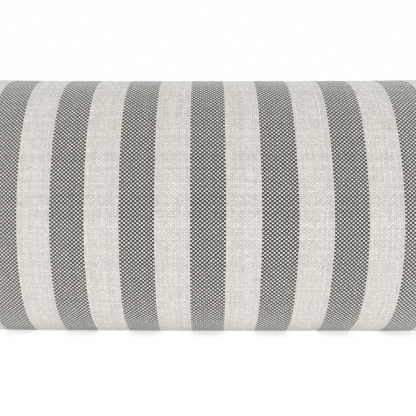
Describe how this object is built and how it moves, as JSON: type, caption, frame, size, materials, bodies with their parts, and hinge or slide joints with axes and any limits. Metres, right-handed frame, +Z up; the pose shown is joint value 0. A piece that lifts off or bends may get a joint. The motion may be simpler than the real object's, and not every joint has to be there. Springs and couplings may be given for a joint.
{
  "type": "throw pillow",
  "caption": "Long striped lumbar throw pillow: woven cover with a zipped back over a filled insert, with a sliding zipper slider and a swinging pull tab.",
  "frame": {"origin": "on the floor, under the middle of the pillow's box", "axes": "+X along the pillow, +Y out of its zipped back, +Z up; the front faces -Y"},
  "size_m": [0.888, 0.134, 0.33],
  "materials": {
    "striped_cloth": "matte plain weave, charcoal and off-white stripes",
    "sewing_thread": "matte spun thread",
    "label_satin": "blank satin",
    "zipper_tape": "matte woven tape",
    "zipper_teeth": "moulded",
    "zipper_metal": "satin nickel",
    "insert_cloth": "matte nonwoven",
    "loose_fill": "soft fibre"
  },
  "bodies": {
    "pillow": {"cover_front_panel": "striped_cloth", "cover_back_upper_panel": "striped_cloth", "cover_back_lower_panel": "striped_cloth", "cover_seam_thread": "sewing_thread", "cover_care_label": "label_satin", "zipper_tape_upper": "zipper_tape", "zipper_tape_lower": "zipper_tape", "zipper_teeth_upper": "zipper_teeth", "zipper_teeth_lower": "zipper_teeth", "zipper_top_stops": "zipper_metal", "zipper_bottom_stop": "zipper_metal", "zipper_stitching_upper": "sewing_thread", "zipper_stitching_lower": "sewing_thread", "insert_shell_front": "insert_cloth", "insert_shell_back": "insert_cloth", "insert_seam_thread": "sewing_thread", "insert_label": "label_satin", "insert_fill": "loose_fill"},
    "slider": {"zipper_slider": "zipper_metal"},
    "pull": {"zipper_pull_tab": "zipper_metal"}
  },
  "joints": [
    {"name": "slider_slide", "type": "slide", "parent": "pillow", "child": "slider", "axis": [-1, 0, 0], "range_m": [0, 0.488]},
    {"name": "pull_hinge", "type": "hinge", "parent": "slider", "child": "pull", "pos_m": [0.2445, 0.06285, 0.06756], "axis": [0, -0.241, -0.9705], "range_deg": [0, 180]}
  ]
}
